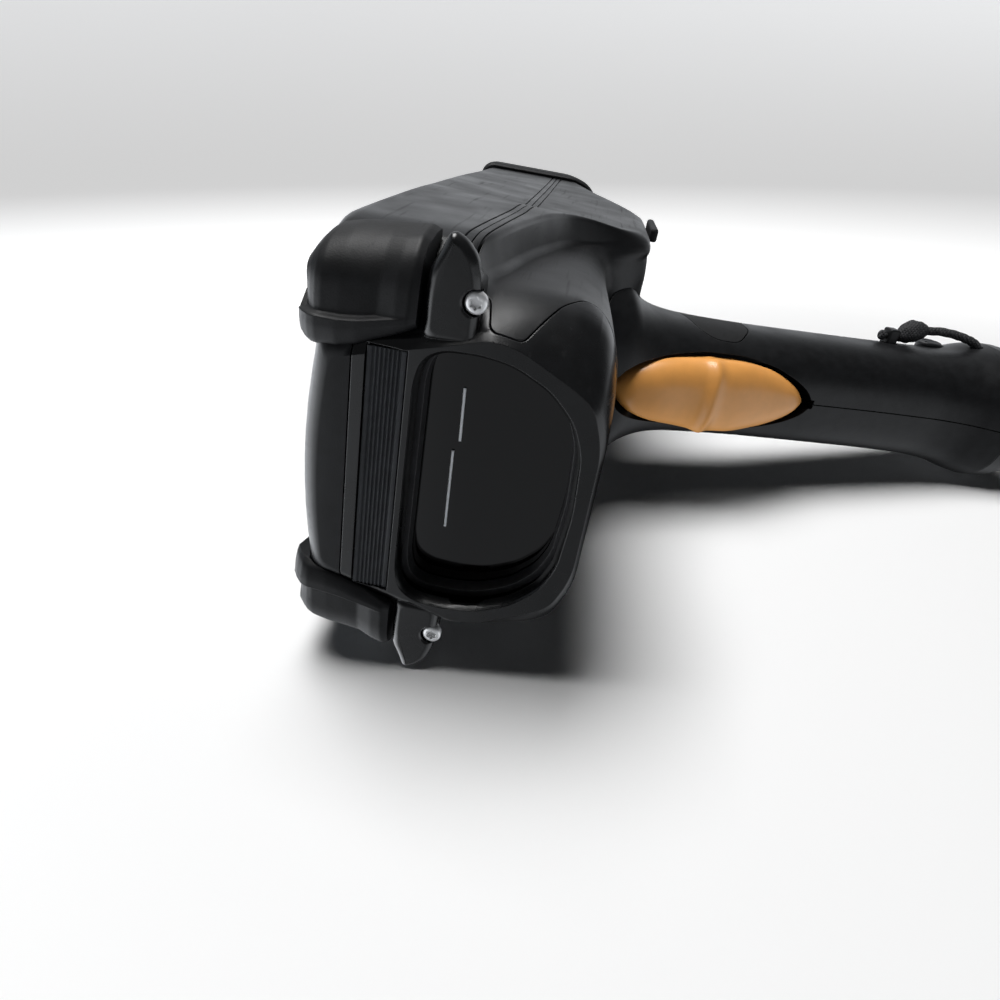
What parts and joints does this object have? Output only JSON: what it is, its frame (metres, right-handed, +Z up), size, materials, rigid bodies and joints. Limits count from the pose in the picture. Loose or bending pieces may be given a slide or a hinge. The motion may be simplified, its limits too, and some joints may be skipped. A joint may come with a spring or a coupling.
{
  "type": "pistol-grip handheld computer",
  "caption": "Rugged handheld computer and scanner lying on its side: display, keys, scan window, pistol grip with a sprung trigger and a pull-out battery.",
  "frame": {"origin": "centre of the bounding box's base, on the surface the device lies on", "axes": "+Y from the scan window towards the tail along the body, +Z up while it lies on its right side, +X from the display side towards the grip's end"},
  "size_m": [0.2052, 0.2314, 0.0928],
  "materials": {
    "battery_cap": "fine texture",
    "battery_contacts": "satin",
    "battery_latch": "satin",
    "battery_pack": "matte",
    "belly_foot_left": "matte",
    "belly_foot_right": "matte",
    "bezel_screw_left": "bright",
    "bezel_screw_right": "bright",
    "bottom_housing": "fine texture",
    "bumper_left": "satin",
    "bumper_right": "satin",
    "display_module": "satin",
    "display_window": "gloss",
    "dock_contacts": "satin",
    "front_bezel": "gloss",
    "front_strip": "fine ribs",
    "grip_collar": "matte",
    "grip_shell_left": "fine texture",
    "grip_shell_right": "fine texture",
    "key_back": "satin",
    "key_down": "satin",
    "key_eight": "satin",
    "key_enter": "satin",
    "key_five": "satin",
    "key_four": "satin",
    "key_hash": "satin",
    "key_mat": "matte",
    "key_menu": "satin",
    "key_nine": "satin",
    "key_one": "satin",
    "key_power": "satin",
    "key_seven": "satin",
    "key_six": "satin",
    "key_star": "satin",
    "key_three": "satin",
    "key_two": "satin",
    "key_up": "satin",
    "key_zero": "satin",
    "keypad_plate": "matte",
    "lanyard_knot": "woven",
    "lanyard_loop": "woven",
    "lanyard_lug": "matte",
    "main_board": "satin",
    "nav_ring": "satin",
    "radio_board": "satin",
    "scan_engine": "matte",
    "scan_key": "satin",
    "scan_lens": "gloss",
    "scan_window": "gloss",
    "speaker": "matte",
    "status_light": "gloss",
    "tail_cap": "matte",
    "top_housing": "fine texture",
    "trigger": "gloss",
    "trigger_pin": "bright",
    "trigger_spring": "bright",
    "trigger_switch": "matte",
    "window_hood": "matte"
  },
  "bodies": {
    "device": {"battery_contacts": "battery_contacts", "belly_foot_left": "belly_foot_left", "belly_foot_right": "belly_foot_right", "bezel_screw_left": "bezel_screw_left", "bezel_screw_right": "bezel_screw_right", "bottom_housing": "bottom_housing", "bumper_left": "bumper_left", "bumper_right": "bumper_right", "display_module": "display_module", "display_window": "display_window", "dock_contacts": "dock_contacts", "front_bezel": "front_bezel", "front_strip": "front_strip", "grip_collar": "grip_collar", "grip_shell_left": "grip_shell_left", "grip_shell_right": "grip_shell_right", "key_mat": "key_mat", "keypad_plate": "keypad_plate", "lanyard_knot": "lanyard_knot", "lanyard_loop": "lanyard_loop", "lanyard_lug": "lanyard_lug", "main_board": "main_board", "radio_board": "radio_board", "scan_engine": "scan_engine", "scan_lens": "scan_lens", "scan_window": "scan_window", "speaker": "speaker", "status_light": "status_light", "tail_cap": "tail_cap", "top_housing": "top_housing", "trigger_pin": "trigger_pin", "trigger_spring": "trigger_spring", "trigger_switch": "trigger_switch", "window_hood": "window_hood"},
    "trigger": {"trigger": "trigger"},
    "battery": {"battery_cap": "battery_cap", "battery_pack": "battery_pack"},
    "battery_latch": {"battery_latch": "battery_latch"},
    "nav_ring": {"nav_ring": "nav_ring"},
    "scan_key": {"scan_key": "scan_key"},
    "key_back": {"key_back": "key_back"},
    "key_down": {"key_down": "key_down"},
    "key_eight": {"key_eight": "key_eight"},
    "key_enter": {"key_enter": "key_enter"},
    "key_five": {"key_five": "key_five"},
    "key_four": {"key_four": "key_four"},
    "key_hash": {"key_hash": "key_hash"},
    "key_menu": {"key_menu": "key_menu"},
    "key_nine": {"key_nine": "key_nine"},
    "key_one": {"key_one": "key_one"},
    "key_power": {"key_power": "key_power"},
    "key_seven": {"key_seven": "key_seven"},
    "key_six": {"key_six": "key_six"},
    "key_star": {"key_star": "key_star"},
    "key_three": {"key_three": "key_three"},
    "key_two": {"key_two": "key_two"},
    "key_up": {"key_up": "key_up"},
    "key_zero": {"key_zero": "key_zero"}
  },
  "joints": [
    {"name": "trigger_squeeze", "type": "hinge", "parent": "device", "child": "trigger", "pos_m": [-0.0238, -0.01881, 0.03882], "axis": [0.1521, 0, 0.9884], "range_deg": [0, 6.5], "stiffness_Nm_per_rad": 1.3},
    {"name": "battery_slide", "type": "slide", "parent": "device", "child": "battery", "axis": [0.959, 0.2419, -0.1476], "range_m": [0, 0.06]},
    {"name": "battery_latch_press", "type": "slide", "parent": "device", "child": "battery_latch", "axis": [-0.1521, 0, -0.9884], "range_m": [0, 0.0015], "stiffness_N_per_m": 400},
    {"name": "key_back_press", "type": "slide", "parent": "device", "child": "key_back", "axis": [0.9884, 0, -0.1521], "range_m": [0, 0.0008], "stiffness_N_per_m": 400},
    {"name": "key_down_press", "type": "slide", "parent": "device", "child": "key_down", "axis": [0.9884, 0, -0.1521], "range_m": [0, 0.0008], "stiffness_N_per_m": 400},
    {"name": "key_eight_press", "type": "slide", "parent": "device", "child": "key_eight", "axis": [0.9884, 0, -0.1521], "range_m": [0, 0.0008], "stiffness_N_per_m": 400},
    {"name": "key_enter_press", "type": "slide", "parent": "device", "child": "key_enter", "axis": [0.9884, 0, -0.1521], "range_m": [0, 0.0008], "stiffness_N_per_m": 400},
    {"name": "key_five_press", "type": "slide", "parent": "device", "child": "key_five", "axis": [0.9884, 0, -0.1521], "range_m": [0, 0.0008], "stiffness_N_per_m": 400},
    {"name": "key_four_press", "type": "slide", "parent": "device", "child": "key_four", "axis": [0.9884, 0, -0.1521], "range_m": [0, 0.0008], "stiffness_N_per_m": 400},
    {"name": "key_hash_press", "type": "slide", "parent": "device", "child": "key_hash", "axis": [0.9884, 0, -0.1521], "range_m": [0, 0.0008], "stiffness_N_per_m": 400},
    {"name": "key_menu_press", "type": "slide", "parent": "device", "child": "key_menu", "axis": [0.9884, 0, -0.1521], "range_m": [0, 0.0008], "stiffness_N_per_m": 400},
    {"name": "key_nine_press", "type": "slide", "parent": "device", "child": "key_nine", "axis": [0.9884, 0, -0.1521], "range_m": [0, 0.0008], "stiffness_N_per_m": 400},
    {"name": "key_one_press", "type": "slide", "parent": "device", "child": "key_one", "axis": [0.9884, 0, -0.1521], "range_m": [0, 0.0008], "stiffness_N_per_m": 400},
    {"name": "key_power_press", "type": "slide", "parent": "device", "child": "key_power", "axis": [0.9884, 0, -0.1521], "range_m": [0, 0.0008], "stiffness_N_per_m": 400},
    {"name": "key_seven_press", "type": "slide", "parent": "device", "child": "key_seven", "axis": [0.9884, 0, -0.1521], "range_m": [0, 0.0008], "stiffness_N_per_m": 400},
    {"name": "key_six_press", "type": "slide", "parent": "device", "child": "key_six", "axis": [0.9884, 0, -0.1521], "range_m": [0, 0.0008], "stiffness_N_per_m": 400},
    {"name": "key_star_press", "type": "slide", "parent": "device", "child": "key_star", "axis": [0.9884, 0, -0.1521], "range_m": [0, 0.0008], "stiffness_N_per_m": 400},
    {"name": "key_three_press", "type": "slide", "parent": "device", "child": "key_three", "axis": [0.9884, 0, -0.1521], "range_m": [0, 0.0008], "stiffness_N_per_m": 400},
    {"name": "key_two_press", "type": "slide", "parent": "device", "child": "key_two", "axis": [0.9884, 0, -0.1521], "range_m": [0, 0.0008], "stiffness_N_per_m": 400},
    {"name": "key_up_press", "type": "slide", "parent": "device", "child": "key_up", "axis": [0.9884, 0, -0.1521], "range_m": [0, 0.0008], "stiffness_N_per_m": 400},
    {"name": "key_zero_press", "type": "slide", "parent": "device", "child": "key_zero", "axis": [0.9884, 0, -0.1521], "range_m": [0, 0.0008], "stiffness_N_per_m": 400},
    {"name": "nav_ring_press", "type": "slide", "parent": "device", "child": "nav_ring", "axis": [0.9884, 0, -0.1521], "range_m": [0, 0.0008], "stiffness_N_per_m": 400},
    {"name": "scan_key_press", "type": "slide", "parent": "device", "child": "scan_key", "axis": [0.9884, 0, -0.1521], "range_m": [0, 0.0008], "stiffness_N_per_m": 400}
  ]
}
